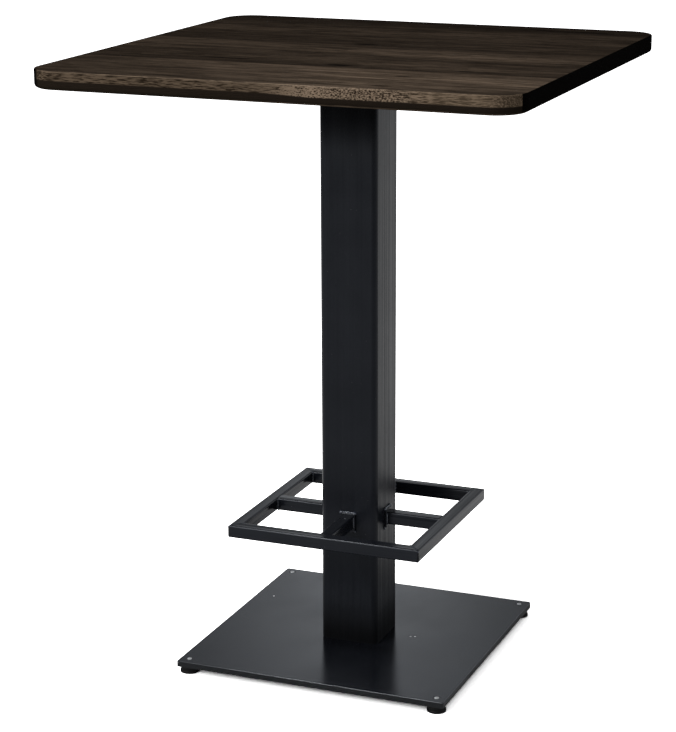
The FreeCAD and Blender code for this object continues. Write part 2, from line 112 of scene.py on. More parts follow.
class Finish:
    """A material and its nodes, with short ways to add nodes and to join them."""

    def __init__(self, name, shader="ShaderNodeBsdfPrincipled"):
        self.material = bpy.data.materials.new(name)
        self.material.use_nodes = True
        self.tree = self.material.node_tree
        self.tree.nodes.clear()
        self.shader = self.add(shader)
        self.join(self.shader.outputs[0], self.add("ShaderNodeOutputMaterial").inputs["Surface"])
        self.place = self.add("ShaderNodeTexCoord").outputs["Object"]
        self.spot = self.apart(self.place)

    def add(self, kind, **settings):
        """A node, with some of its settings."""
        node = self.tree.nodes.new(kind)
        for key, value in settings.items():
            setattr(node, key, value)
        return node

    def join(self, source, target):
        """Set a socket: to another node's output, or to a plain value."""
        if isinstance(source, bpy.types.NodeSocket):
            self.tree.links.new(source, target)
        else:
            target.default_value = source

    def set(self, **sockets):
        """Set sockets of the shader, whose names are written with _ for each space."""
        for name, source in sockets.items():
            self.join(source, self.shader.inputs[name.replace("_", " ")])

    def calculate(self, operation, *values):
        """One sum of numbers or outputs."""
        node = self.add("ShaderNodeMath", operation=operation)
        for value, socket in zip(values, node.inputs):
            self.join(value, socket)
        return node.outputs[0]

    def ramp(self, value, low, high, to_low=0.0, to_high=1.0):
        """Ease from one number to another while a value goes from low to high."""
        node = self.add("ShaderNodeMapRange", interpolation_type="SMOOTHSTEP")
        for source, socket in zip((value, low, high, to_low, to_high), node.inputs):
            self.join(source, socket)
        return node.outputs[0]

    def colours(self, value, *stops):
        """A colour for each value, between stops of (position, colour)."""
        node = self.add("ShaderNodeValToRGB")
        while len(node.color_ramp.elements) < len(stops):
            node.color_ramp.elements.new(1)
        for element, (position, colour) in zip(node.color_ramp.elements, stops):
            element.position = position
            element.color = (*colour, 1)
        self.join(value, node.inputs["Fac"])
        return node.outputs["Color"]

    def blend(self, share, first, second):
        """One colour over another."""
        node = self.add("ShaderNodeMix", data_type="RGBA")
        for source, name in ((share, "Factor"), (first, "A"), (second, "B")):
            self.join((*source, 1) if isinstance(source, tuple) else source, node.inputs[name])
        return node.outputs["Result"]

    def noise(self, scale, detail=2.0, source=None, shift=0.0):
        """Noise that may be stretched: one scale, or one along each axis."""
        mapping = self.add("ShaderNodeMapping")
        mapping.inputs["Scale"].default_value = scale if isinstance(scale, tuple) else (scale,) * 3
        mapping.inputs["Location"].default_value = (shift, 2 * shift, 3 * shift)
        self.join(self.place if source is None else source, mapping.inputs["Vector"])
        node = self.add("ShaderNodeTexNoise")
        node.inputs["Scale"].default_value = 1
        node.inputs["Detail"].default_value = detail
        self.join(mapping.outputs[0], node.inputs["Vector"])
        return node.outputs

    def relief(self, height, distance, under=None):
        """Bump from a height, over the bump under it; the distance is what a height of 1 stands for."""
        node = self.add("ShaderNodeBump")
        node.inputs["Distance"].default_value = distance
        self.join(height, node.inputs["Height"])
        if under is not None:
            self.join(under, node.inputs["Normal"])
        return node.outputs[0]

    def distance_to(self, x, y):
        """How far a place lies from an upright line."""
        offset = self.add("ShaderNodeVectorMath", operation="MULTIPLY_ADD")
        self.join(self.place, offset.inputs[0])
        offset.inputs[1].default_value = (1, 1, 0)
        offset.inputs[2].default_value = (-x, -y, 0)
        length = self.add("ShaderNodeVectorMath", operation="LENGTH")
        self.join(offset.outputs[0], length.inputs[0])
        return length.outputs["Value"]

    def apart(self, source):
        """The three parts of a place."""
        node = self.add("ShaderNodeSeparateXYZ")
        self.join(source, node.inputs[0])
        return node.outputs


bpy.ops.mesh.primitive_plane_add(size=floor_size, location=(0, 0, 0))
floor = bpy.context.object
floor.name = "floor"
finish = Finish("studio_floor", "ShaderNodeBsdfDiffuse")
rays = finish.add("ShaderNodeLightPath").outputs
seen = finish.calculate("MULTIPLY", rays["Is Camera Ray"], floor_seen - floor_as_lit)
bounced = finish.ramp(finish.spot["Y"], *floor_brightens_over, *floor_mirrored)
shaded = finish.ramp(finish.distance_to(0, 0), *floor_shade_fades_over, floor_shade, 1)
mirrored = finish.calculate("SUBTRACT", finish.calculate("MULTIPLY", bounced, shaded), floor_as_lit)
mirrored = finish.calculate("MULTIPLY", rays["Is Glossy Ray"], mirrored)
finish.set(Color=finish.calculate("ADD", floor_as_lit, finish.calculate("ADD", seen, mirrored)))
floor.data.materials.append(finish.material)

world = bpy.data.worlds.new("light_tent")
world.use_nodes = True
world.cycles.sampling_method = "NONE"
bpy.context.scene.world = world
tree = world.node_tree
tree.nodes.clear()
output = tree.nodes.new("ShaderNodeOutputWorld")
rays = tree.nodes.new("ShaderNodeLightPath").outputs


def tent_cloth(strength, colour=(1, 1, 1)):
    """A plain background of one strength, which may come from another node."""
    cloth = tree.nodes.new("ShaderNodeBackground")
    cloth.inputs["Color"].default_value = (*colour, 1)
    if isinstance(strength, bpy.types.NodeSocket):
        tree.links.new(strength, cloth.inputs["Strength"])
    else:
        cloth.inputs["Strength"].default_value = strength
    return cloth.outputs[0]


def choose(ray, otherwise, when):
    """One cloth for one kind of ray, and another for the rest."""
    mix = tree.nodes.new("ShaderNodeMixShader")
    for source, socket in zip((rays[ray], otherwise, when), mix.inputs):
        tree.links.new(source, socket)
    return mix.outputs[0]


def fade(value, start, end, strength):
    """Full strength at one value, fading to another strength at a second value."""
    node = tree.nodes.new("ShaderNodeMapRange")
    tree.links.new(value, node.inputs["Value"])
    for name, number in (("From Min", start), ("From Max", end), ("To Min", 1), ("To Max", strength)):
        node.inputs[name].default_value = number
    return node.outputs[0]


def tent_sum(operation, *values):
    """One sum of numbers or outputs."""
    node = tree.nodes.new("ShaderNodeMath")
    node.operation = operation
    for value, socket in zip(values, node.inputs):
        tree.links.new(value, socket)
    return node.outputs[0]


heading = tree.nodes.new("ShaderNodeTexCoord").outputs["Generated"]
level = tree.nodes.new("ShaderNodeSeparateXYZ")
tree.links.new(heading, level.inputs[0])
aside = tree.nodes.new("ShaderNodeVectorMath")
aside.operation = "DOT_PRODUCT"
tree.links.new(heading, aside.inputs[0])
aside.inputs[1].default_value = wall_across
aside = tent_sum("ABSOLUTE", aside.outputs["Value"])
walls = tent_sum("MAXIMUM", fade(aside, *wall_dims_over, wall_dim),
                 fade(aside, wall_bright_from, wall_dark_to, 0))
glow = tent_sum("MULTIPLY", fade(level.outputs["Z"], *roof_starts_over, tent_roof), walls)
tent = choose("Is Glossy Ray", tent_cloth(tent_ambient), tent_cloth(glow, tent_cast))
tent = choose("Is Transmission Ray", tent, tent_cloth(1))
tree.links.new(choose("Is Camera Ray", tent, tent_cloth(1)), output.inputs["Surface"])

# place, aimed at, width, height, watts
LAMPS = {
    "overhead_softbox": ((-0.35, -0.45, 3.0), (0, 0, 0.9), 0.9, 0.9, 6),
    "front_softbox": ((-1.6, -3.4, 2.0), (0, 0, 0.8), 1.2, 1.6, 60),
    "edge_light": ((-1.0, -1.2, 2.65), (0, -0.2, 0.3), 0.3, 0.3, 30),
}
for name, (place, target, width, height, watts) in LAMPS.items():
    bpy.ops.object.light_add(type="AREA", location=place)
    lamp = bpy.context.object
    lamp.name = name
    lamp.data.shape = "RECTANGLE"
    lamp.data.size = width
    lamp.data.size_y = height
    lamp.data.energy = watts
    lamp.rotation_euler = (Vector(target) - Vector(place)).to_track_quat("-Z", "Y").to_euler()


# ---------------------------------------------------------------------------------------------------------
# Base plate
# A flat laser-cut steel plate with an eased upper edge, powder coated black. Bolts hold it to the column,
# and it stands on four feet whose screws are tapped into it.
# ---------------------------------------------------------------------------------------------------------

coat_dark = (0.0038, 0.0045, 0.0066)
coat_pale = (0.0062, 0.0071, 0.0098)
# A painted shade, for the head and the foot of the column
coat_painted_shade = (0.0005, 0.0005, 0.0007)
coat_round_screws = (0.001, 0.001, 0.001)
# A painted shade, for the upright edge of a plate
coat_shaded_edge = (0.0010, 0.0012, 0.0017)
coat_in_groove = (0.0005, 0.0005, 0.0006)
coat_tint = (0.90, 0.94, 1, 1)
coat_duller = 0.6
peel_height = 0.00003
drawn_height = 0.0016
dust_cells = 75
dust_size = (0.020, 0.035)
dust_cover = 0.12
dust_colour = (0.80, 0.80, 0.80)
specks_on_plate = ((-0.2061, 0.0971), (0.0932, 0.0066), (0.1005, 0.0095))
speck_radius = 0.0021
dark_ring_radii = (0.0046, 0.0070)
shade_faces_over = (0.043, 0.050)
rim_band = (0.0009, 0.0006)
rim_dullness = (0.8, 0.45)
rim_clears_over = (0, 0.24)
groove_width = (0.0010, 0.0020)
groove_depth = 0.0008
groove_ragged = 0.0004


def powder_coat(name, drawn_along=None, streaks=0.00012, mitred=False, gloss=0.32, mirror=0.17, pale=1.0,
                painted_shade=None, shaded_below=None, specks=(), rings=()):
    """Black powder coat, semi-gloss, with fine orange peel and a little dust. On drawn tube the streaks of
    the steel show through along its length, and mitred tube has a groove where it meets the next. The coat
    is painted with shade, and made dark and dull, between two heights at the head, on its front and back
    only, and between two at the foot. Below a height the upright edge of a plate is painted darker, with
    painted shade, and its rim is duller. Specks are grains of dust, and rings are darker and duller rings
    round the screws."""
    finish = Finish(name)
    mottle = finish.noise(9, 4)["Fac"]
    dark, light = (tuple(pale * part for part in colour) for colour in (coat_dark, coat_pale))
    colour = finish.colours(mottle, (0.35, dark), (0.70, light))
    cells = finish.add("ShaderNodeTexVoronoi")
    cells.inputs["Scale"].default_value = dust_cells
    finish.join(finish.place, cells.inputs["Vector"])
    dust = finish.ramp(cells.outputs["Distance"], *dust_size, dust_cover, 0)
    colour = finish.blend(dust, colour, dust_colour)
    for x, y in specks:
        speck = finish.ramp(finish.distance_to(x, y), speck_radius / 2, speck_radius, 1, 0)
        colour = finish.blend(speck, colour, dust_colour)
    peel = finish.noise(650)["Fac"]
    normal = finish.relief(peel, peel_height)
    gloss = finish.ramp(mottle, 0.3, 0.7, gloss - 0.03, gloss + 0.03)
    # Darker and duller rings round the foot screws.
    for x, y in rings:
        ring = finish.ramp(finish.distance_to(x, y), *dark_ring_radii, 1, 0)
        colour = finish.blend(ring, colour, coat_round_screws)
        gloss = finish.calculate("ADD", gloss, finish.calculate("MULTIPLY", ring, coat_duller))
    # Painted shade: darker and duller at the head, on the front and back only, and at the foot.
    if painted_shade is not None:
        head, foot = painted_shade
        front_and_back = finish.ramp(finish.calculate("ABSOLUTE", finish.spot["Y"]), *shade_faces_over)
        shade_share = finish.calculate("MULTIPLY", finish.ramp(finish.spot["Z"], *head), front_and_back)
        shade_share = finish.calculate("MAXIMUM", shade_share, finish.ramp(finish.spot["Z"], *foot, 1, 0))
        gloss = finish.calculate("ADD", gloss, finish.calculate("MULTIPLY", shade_share, coat_duller))
        colour = finish.blend(shade_share, colour, coat_painted_shade)
    # Painted shade: below a height the upright edge of a plate is painted darker, and its rim is made
    # duller.
    if shaded_below is not None:
        edge = finish.ramp(finish.spot["Z"], shaded_below - 0.0002, shaded_below, 1, 0)
        colour = finish.blend(edge, colour, coat_shaded_edge)
        dullness = finish.ramp(finish.spot["X"], *rim_clears_over, *rim_dullness)
        rim = finish.ramp(finish.spot["Z"], *(shaded_below - depth for depth in rim_band), 0, dullness)
        gloss = finish.calculate("ADD", gloss, finish.calculate("MULTIPLY", edge, rim))
    if drawn_along is not None:
        broad = finish.noise(tuple(0.8 if axis == drawn_along else 60 for axis in "xyz"))["Fac"]
        fine = finish.noise(tuple(2.5 if axis == drawn_along else 300 for axis in "xyz"), shift=4)["Fac"]
        normal = finish.relief(broad, drawn_height, normal)
        normal = finish.relief(fine, streaks, normal)
        gloss = finish.calculate("ADD", gloss, finish.ramp(broad, 0.3, 0.7, -0.03, 0.03))
    if mitred:
        across = finish.calculate("SUBTRACT", finish.calculate("ABSOLUTE", finish.spot["X"]),
                                  finish.calculate("ABSOLUTE", finish.spot["Y"]))
        ragged = finish.ramp(finish.noise(400)["Fac"], 0.3, 0.7, -groove_ragged, groove_ragged)
        off_mitre = finish.calculate("ABSOLUTE", finish.calculate("ADD", across, ragged))
        groove = finish.ramp(off_mitre, *groove_width)
        normal = finish.relief(groove, groove_depth, normal)
        colour = finish.blend(groove, coat_in_groove, colour)
        gloss = finish.calculate("ADD", gloss, finish.ramp(off_mitre, *groove_width, 0.7, 0))
    finish.set(Base_Color=colour, Roughness=gloss, Normal=normal, Specular_IOR_Level=mirror,
               Specular_Tint=coat_tint)
    return finish.material


def dress(name, material):
    """Give a CAD node its surface finish."""
    nodes[name].data.materials.clear()
    nodes[name].data.materials.append(material)


CORNERS = ("front_left", "front_right", "back_right", "back_left")
foot_places = []
for corner in CORNERS:
    low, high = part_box(f"foot_screw_{corner}")
    foot_places.append(((low.x + high.x) / 2, (low.y + high.y) / 2))
dress("base_plate", powder_coat("powder_coat_plate", gloss=0.22, mirror=0.95,
                                shaded_below=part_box("base_plate")[1].z - 0.0001,
                                specks=specks_on_plate, rings=foot_places))


# ---------------------------------------------------------------------------------------------------------
# Levelling feet, pads
# Round pads moulded in black plastic, with a lip round the foot, eased rims, a sunk sole and a socket for
# the foot screw. They stay still on the floor while the screw turns in them.
# ---------------------------------------------------------------------------------------------------------

pad_rim = 0.0007
pad_lip = 0.0045
pad_waist = 0.0010
pad_sole_rim = 0.0030
pad_sole_step = 0.0005
pad_sole_depth = 0.0008
socket_radius = 0.00425
socket_floor = 0.003
plastic_dark = (0.003, 0.003, 0.003)
plastic_pale = (0.006, 0.006, 0.006)
plastic_scuffed = (0.018, 0.018, 0.018)
plastic_dullness = (0.42, 0.58)
plastic_mirror = 0.22
plastic_grain = 0.00003


def choose_faces(test):
    """In edit mode, select the faces that pass a test, and nothing else."""
    bpy.ops.mesh.select_all(action="DESELECT")
    shape = bmesh.from_edit_mesh(bpy.context.object.data)
    for face in shape.faces:
        face.select = test(face)
    shape.select_flush(True)
    bmesh.update_edit_mesh(bpy.context.object.data)


def choose_edges(test):
    """In edit mode, select the edges that pass a test, and nothing else."""
    bpy.ops.mesh.select_all(action="DESELECT")
    bpy.ops.mesh.select_mode(type="EDGE")
    shape = bmesh.from_edit_mesh(bpy.context.object.data)
    for edge in shape.edges:
        edge.select = test(edge)
    bmesh.update_edit_mesh(bpy.context.object.data)


def looks_up(face):
    """Whether a face is level and looks up."""
    return face.normal.z > 0.99


def looks_down(face):
    """Whether a face is level and looks down."""
    return face.normal.z < -0.99


def is_rim(edge):
    """Whether an edge lies flat, between a level face and an upright one."""
    return abs(edge.verts[0].co.z - edge.verts[1].co.z) < 1e-6


def settle(piece):
    """Apply a piece's place, so that its object sits at the origin."""
    bpy.ops.object.select_all(action="DESELECT")
    piece.select_set(True)
    bpy.context.view_layer.objects.active = piece
    bpy.ops.object.transform_apply(location=True, rotation=True, scale=True)


def copy_of(piece, name, move=(0, 0, 0), quarter_turns=0):
    """A copy of a piece with a mesh of its own, turned about the table's axis and moved."""
    twin = piece.copy()
    twin.data = piece.data.copy()
    twin.name = name
    bpy.context.collection.objects.link(twin)
    twin.rotation_euler = (0, 0, math.radians(90 * quarter_turns))
    twin.location = move
    settle(twin)
    return twin


def moulded_plastic(name):
    """Black moulded plastic with the fine grain of a spark-eroded mould."""
    finish = Finish(name)
    grain = finish.noise(1800)["Fac"]
    scuffs = finish.noise((90, 90, 500), 4, shift=2)["Fac"]
    colour = finish.colours(grain, (0.3, plastic_dark), (0.7, plastic_pale))
    colour = finish.blend(finish.ramp(scuffs, 0.62, 0.75, 0, 0.5), colour, plastic_scuffed)
    finish.set(Base_Color=colour, Roughness=finish.ramp(scuffs, 0.4, 0.7, *plastic_dullness),
               Normal=finish.relief(grain, plastic_grain), Specular_IOR_Level=plastic_mirror)
    return finish.material


low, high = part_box("foot_pad_front_right")
pad_radius = (high.x - low.x) / 2
pad_height = high.z

bpy.ops.object.select_all(action="DESELECT")
bpy.ops.mesh.primitive_cylinder_add(vertices=72, radius=pad_radius, depth=pad_lip,
                                    location=(0, 0, pad_lip / 2))
pad = bpy.context.object
settle(pad)
bpy.ops.object.mode_set(mode="EDIT")
bpy.ops.mesh.select_mode(type="FACE")
choose_faces(looks_up)
bpy.ops.mesh.inset(thickness=pad_waist)
bpy.ops.mesh.extrude_region_move(TRANSFORM_OT_translate={"value": (0, 0, pad_height - pad_lip)})
choose_edges(lambda edge: is_rim(edge) and (edge.verts[0].co.z > pad_height - pad_rim
                                            or edge.verts[0].co.xy.length > pad_radius - pad_waist / 2))
bpy.ops.mesh.bevel(offset=pad_rim, segments=3, affect="EDGES")
bpy.ops.mesh.select_mode(type="FACE")
choose_faces(lambda face: looks_up(face) and face.calc_center_median().z > pad_height - pad_rim)
bpy.ops.mesh.inset(thickness=pad_radius - pad_waist - pad_rim - socket_radius)
bpy.ops.mesh.extrude_region_move(TRANSFORM_OT_translate={"value": (0, 0, socket_floor - pad_height)})
choose_faces(looks_down)
bpy.ops.mesh.inset(thickness=pad_sole_rim)
bpy.ops.mesh.inset(thickness=pad_sole_step)
bpy.ops.transform.translate(value=(0, 0, pad_sole_depth))
bpy.ops.object.mode_set(mode="OBJECT")
bpy.ops.object.shade_smooth_by_angle(angle=math.radians(40))
pad.data.materials.append(moulded_plastic("foot_plastic"))

for corner in CORNERS:
    low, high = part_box(f"foot_pad_{corner}")
    middle = (low + high) / 2
    foot = copy_of(pad, f"moulded_pad_{corner}", (middle.x, middle.y, 0))
    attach(foot, f"foot_pad_{corner}")
    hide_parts(f"foot_pad_{corner}")
bpy.data.objects.remove(pad)


# ---------------------------------------------------------------------------------------------------------
# Levelling feet, screws
# Threaded steel studs, zinc plated. Each is turned in the base plate from above, with a screwdriver in its
# slot, and its lower end stands in the pad's socket.
# ---------------------------------------------------------------------------------------------------------

thread_pitch = 0.00125
thread_depth = 0.0007
thread_steps = 24
thread_inset = 0.00002
stud_tip = 0.0015
stud_chamfer = 0.0006
slot_length = 0.03
slot_width = 0.0014
slot_depth = 0.0016
zinc_dark = (0.80, 0.81, 0.83)
zinc_pale = (0.94, 0.94, 0.93)
zinc_dullness = (0.40, 0.52)
zinc_scratch = 0.00001


def zinc_plate(name):
    """Bright zinc on steel, slightly mottled and finely scratched."""
    finish = Finish(name)
    mottle = finish.noise(420, 3)["Fac"]
    scratches = finish.noise((900, 2500, 2500), 3, shift=5)["Fac"]
    finish.set(Base_Color=finish.colours(mottle, (0.3, zinc_dark), (0.7, zinc_pale)), Metallic=1.0,
               Roughness=finish.ramp(mottle, 0.3, 0.7, *zinc_dullness),
               Normal=finish.relief(scratches, zinc_scratch))
    return finish.material


zinc = zinc_plate("zinc_plate")


def carve(piece, tool, operation="DIFFERENCE"):
    """Cut one mesh with another, which is then thrown away."""
    bpy.context.view_layer.objects.active = piece
    cut = piece.modifiers.new("cut", "BOOLEAN")
    cut.operation = operation
    cut.object = tool
    bpy.ops.object.modifier_apply(modifier=cut.name)
    bpy.data.objects.remove(tool)


def join_pieces(first, *others):
    """Join pieces into the first of them."""
    bpy.ops.object.select_all(action="DESELECT")
    for piece in (first, *others):
        piece.select_set(True)
    bpy.context.view_layer.objects.active = first
    bpy.ops.object.join()
    return first


def choose_points(test):
    """In edit mode, select the vertices whose places pass a test, and nothing else."""
    bpy.ops.mesh.select_mode(type="VERT")
    bpy.ops.mesh.select_all(action="DESELECT")
    shape = bmesh.from_edit_mesh(bpy.context.object.data)
    for vertex in shape.verts:
        vertex.select = test(vertex.co)
    bmesh.update_edit_mesh(bpy.context.object.data)


def threaded_rod(radius, low_z, high_z):
    """A rod with a real helical thread and flat ends, on the upright axis of the origin."""
    turns = math.ceil((high_z - low_z) / thread_pitch) + 2
    bpy.ops.object.select_all(action="DESELECT")
    bpy.ops.mesh.primitive_plane_add(size=thread_pitch, rotation=(math.radians(90), 0, 0),
                                     location=(radius - thread_pitch / 2, 0, low_z - thread_pitch / 2))
    rod = bpy.context.object
    settle(rod)
    bpy.ops.object.mode_set(mode="EDIT")
    choose_edges(lambda edge: max(vertex.co.x for vertex in edge.verts) < radius - thread_pitch / 2)
    bpy.ops.mesh.delete(type="VERT")
    bpy.ops.mesh.select_all(action="SELECT")
    bpy.ops.mesh.subdivide(number_cuts=1)
    choose_points(lambda point: abs(point.z - low_z + thread_pitch / 2) < 0.1 * thread_pitch)
    bpy.ops.transform.translate(value=(-thread_depth, 0, 0))
    bpy.ops.object.mode_set(mode="OBJECT")
    helix = rod.modifiers.new("helix", "SCREW")
    helix.steps = thread_steps
    helix.render_steps = thread_steps
    helix.iterations = turns
    helix.screw_offset = thread_pitch
    bpy.ops.object.modifier_apply(modifier=helix.name)
    bpy.ops.object.mode_set(mode="EDIT")
    bpy.ops.mesh.select_all(action="SELECT")
    bpy.ops.mesh.remove_doubles(threshold=1e-6)
    bpy.ops.mesh.bisect(plane_co=(0, 0, low_z), plane_no=(0, 0, -1), use_fill=True, clear_outer=True)
    bpy.ops.mesh.select_all(action="SELECT")
    bpy.ops.mesh.bisect(plane_co=(0, 0, high_z), plane_no=(0, 0, 1), use_fill=True, clear_outer=True)
    bpy.ops.mesh.select_all(action="SELECT")
    bpy.ops.mesh.normals_make_consistent(inside=False)
    bpy.ops.object.mode_set(mode="OBJECT")
    return rod


low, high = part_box("foot_screw_front_right")
stud_radius = (high.x - low.x) / 2
tip_start = high.z - stud_tip
bpy.ops.object.select_all(action="DESELECT")
bpy.ops.mesh.primitive_cylinder_add(vertices=48, radius=stud_radius, depth=2 * stud_tip,
                                    location=(0, 0, tip_start))
tip = bpy.context.object
settle(tip)
bpy.ops.object.mode_set(mode="EDIT")
choose_edges(lambda edge: is_rim(edge) and edge.verts[0].co.z > tip_start)
bpy.ops.mesh.bevel(offset=stud_chamfer, segments=2, affect="EDGES")
bpy.ops.object.mode_set(mode="OBJECT")
bpy.ops.object.select_all(action="DESELECT")
bpy.ops.mesh.primitive_cube_add(size=1, location=(0, 0, high.z),
                                scale=(slot_length, slot_width, 2 * slot_depth))
slot = bpy.context.object
settle(slot)
carve(tip, slot)
rod = threaded_rod(stud_radius - thread_inset, low.z, high.z - 1.5 * stud_tip)
stud = join_pieces(tip, rod)
bpy.ops.object.shade_smooth_by_angle(angle=math.radians(30))
stud.data.materials.append(zinc)

for corner in CORNERS:
    low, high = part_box(f"foot_screw_{corner}")
    middle = (low + high) / 2
    screw = copy_of(stud, f"threaded_stud_{corner}", (middle.x, middle.y, 0))
    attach(screw, f"foot_screw_{corner}")
    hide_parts(f"foot_screw_{corner}")
bpy.data.objects.remove(stud)


# ---------------------------------------------------------------------------------------------------------
# Base bolts and column flange
# Four hexagon bolts go up through the base plate into a tapped steel flange inside the foot of the column.
# Their chamfered heads show only from below.
# ---------------------------------------------------------------------------------------------------------

bolt_reach = 0.026
bolt_flats = 0.016
bolt_radius = 0.005
head_face = 0.47
head_slope = 1.73
shank_sunk = 0.3


def hexagon_screw(flats, head_low, head_high, radius, shank_high, point=0.0):
    """A screw with a chamfered hexagon head below and its shank going up, which may end in a point."""
    head_height = head_high - head_low
    head_middle = (head_low + head_high) / 2
    bpy.ops.object.select_all(action="DESELECT")
    bpy.ops.mesh.primitive_cylinder_add(vertices=6, radius=flats / math.sqrt(3), depth=head_height,
                                        location=(0, 0, head_middle), rotation=(0, 0, math.radians(30)))
    head = bpy.context.object
    face_radius = head_face * flats
    bpy.ops.mesh.primitive_cone_add(vertices=60, radius1=face_radius,
                                    radius2=face_radius + head_slope * head_height, depth=head_height,
                                    location=(0, 0, head_middle))
    chamfer = bpy.context.object
    settle(head)
    settle(chamfer)
    carve(head, chamfer, "INTERSECT")
    shank_low = head_high - shank_sunk * head_height
    bpy.ops.mesh.primitive_cylinder_add(vertices=40, radius=radius, depth=shank_high - point - shank_low,
                                        location=(0, 0, (shank_high - point + shank_low) / 2))
    shank = bpy.context.object
    settle(shank)
    if point:
        bpy.ops.object.mode_set(mode="EDIT")
        choose_faces(looks_up)
        bpy.ops.mesh.extrude_region_move(TRANSFORM_OT_translate={"value": (0, 0, point)})
        bpy.ops.mesh.merge(type="CENTER")
        bpy.ops.object.mode_set(mode="OBJECT")
    screw = join_pieces(head, shank)
    bpy.ops.object.shade_smooth_by_angle(angle=math.radians(20))
    return screw


def set_of_four(screw, reach, name, node):
    """A screw at each corner of a square, as one piece that stands for a CAD node."""
    copies = [copy_of(screw, name, (x, y, 0)) for x in (-reach, reach) for y in (-reach, reach)]
    bpy.data.objects.remove(screw)
    piece = join_pieces(*copies)
    piece.data.materials.clear()
    piece.data.materials.append(zinc)
    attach(piece, "table")
    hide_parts(node)


low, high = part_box("base_bolts")
bolt = hexagon_screw(bolt_flats, low.z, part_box("base_plate")[0].z, bolt_radius, high.z)
set_of_four(bolt, bolt_reach, "hexagon_bolts", "base_bolts")
dress("column_flange", powder_coat("powder_coat_flange"))


# ---------------------------------------------------------------------------------------------------------
# Column
# Square steel tube with round corners, powder coated. Its steel was drawn along its length, and the streaks
# show in the coat where the light grazes it.
# ---------------------------------------------------------------------------------------------------------

# Painted shade: the coat is darker and duller below the tabletop, on the front and back of the column's
# head, and at its foot.
shadow_under_top = (0.85, 0.95)
shade_at_foot = (0.03, 0.12)
dress("column_tube", powder_coat("powder_coat_column", drawn_along="z", gloss=0.35, pale=1.15,
                                 painted_shade=(shadow_under_top, shade_at_foot)))


# ---------------------------------------------------------------------------------------------------------
# Footrest lugs
# Small steel plates with eased edges, powder coated with the column. Each is welded flat on a face of the
# column, along its upper and lower edges, and carries a spoke.
# ---------------------------------------------------------------------------------------------------------

SIDES = {"front": -1, "right": 0, "back": 1, "left": 2}
lug_coat = powder_coat("powder_coat_lug", gloss=0.26)
# The welds' coat is five times paler than the rest: a painted highlight on the beads.
weld_coat = powder_coat("powder_coat_weld", gloss=0.17, mirror=1.0, pale=5)
weld_voxel = 0.0004
ripple_step = 0.5
ripple_wobble = 0.09
ripple_sizes = (0.85, 1.15)


def lay_weld(name, seed, *stretches):
    """A weld laid in ripples along straight stretches, each from a start to an end at a thickness."""
    dice = random.Random(seed)
    ripples = []
    for start, end, thickness in stretches:
        start, end = Vector(start), Vector(end)
        count = max(2, round((end - start).length / (ripple_step * thickness)) + 1)
        for index in range(count):
            wobble = Vector([dice.uniform(-1, 1) for axis in "xyz"]) * ripple_wobble * thickness
            radius = thickness / 2 * dice.uniform(*ripple_sizes)
            spot = start.lerp(end, index / (count - 1)) + wobble
            bpy.ops.mesh.primitive_ico_sphere_add(subdivisions=2, radius=radius, location=spot)
            ripples.append(bpy.context.object)
    weld = join_pieces(*ripples)
    settle(weld)
    skin = weld.modifiers.new("skin", "REMESH")
    skin.mode = "VOXEL"
    skin.voxel_size = weld_voxel
    bpy.ops.object.modifier_apply(modifier=skin.name)
    melt = weld.modifiers.new("melt", "SMOOTH")
    melt.iterations = 3
    bpy.ops.object.modifier_apply(modifier=melt.name)
    bpy.ops.object.shade_smooth()
    weld.name = name
    weld.data.materials.append(weld_coat)
    return weld


def weld_on_sides(weld, name, turns):
    """The same weld at each place round the column, given as quarter turns from where it was laid."""
    for place, quarter_turns in turns.items():
        bead = copy_of(weld, f"{name}_{place}", quarter_turns=quarter_turns)
        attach(bead, "table")
    bpy.data.objects.remove(weld)


# Along the upper edge and round its two ends, then along the lower edge with a run at each end of it
low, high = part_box("footrest_lug_right")
seam_x = low.x + 0.0010
weld = lay_weld(
    "lug_weld", 3,
    ((seam_x, low.y, high.z + 0.0006), (seam_x, high.y, high.z + 0.0006), 0.0040),
    ((seam_x, low.y - 0.0002, high.z + 0.0004), (seam_x + 0.0008, low.y + 0.0010, high.z), 0.0060),
    ((seam_x, high.y - 0.0012, high.z + 0.0002), (seam_x + 0.0008, high.y, high.z + 0.0004), 0.0056),
    ((seam_x, low.y, low.z - 0.0005), (seam_x, high.y, low.z - 0.0005), 0.0036),
    ((seam_x, low.y, low.z - 0.0002), (seam_x, low.y, low.z - 0.0026), 0.0040),
    ((seam_x, high.y - 0.0010, low.z), (seam_x, high.y, low.z - 0.0012), 0.0044),
)
weld_on_sides(weld, "lug_weld", SIDES)
for side in SIDES:
    dress(f"footrest_lug_{side}", lug_coat)


# ---------------------------------------------------------------------------------------------------------
# Footrest spokes
# Square steel tubes with round corners, powder coated with the rest. Each runs from a lug to the middle of
# a rail and is welded to both.
# ---------------------------------------------------------------------------------------------------------

tube_coat = {"streaks": 0.00004, "gloss": 0.20, "mirror": 0.2, "pale": 1.2}
SPOKE_COAT = {axis: powder_coat(f"powder_coat_spoke_{axis}", drawn_along=axis, **tube_coat) for axis in "xy"}
low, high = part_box("footrest_spoke_right")
spoke_round = 0.0028
for name, x, thickness, seed in (("spoke_root_weld", low.x + 0.0004, 0.0026, 5),
                                 ("spoke_end_weld", high.x - 0.0005, 0.0032, 8)):
    weld = lay_weld(
        name, seed,
        ((x, low.y, low.z + spoke_round), (x, low.y, high.z - spoke_round), thickness),
        ((x, high.y, low.z + spoke_round), (x, high.y, high.z - spoke_round), thickness),
        ((x, low.y + spoke_round, low.z), (x, high.y - spoke_round, low.z), thickness),
    )
    weld_on_sides(weld, name, SIDES)
for side in SIDES:
    dress(f"footrest_spoke_{side}", SPOKE_COAT["y" if side in ("front", "back") else "x"])


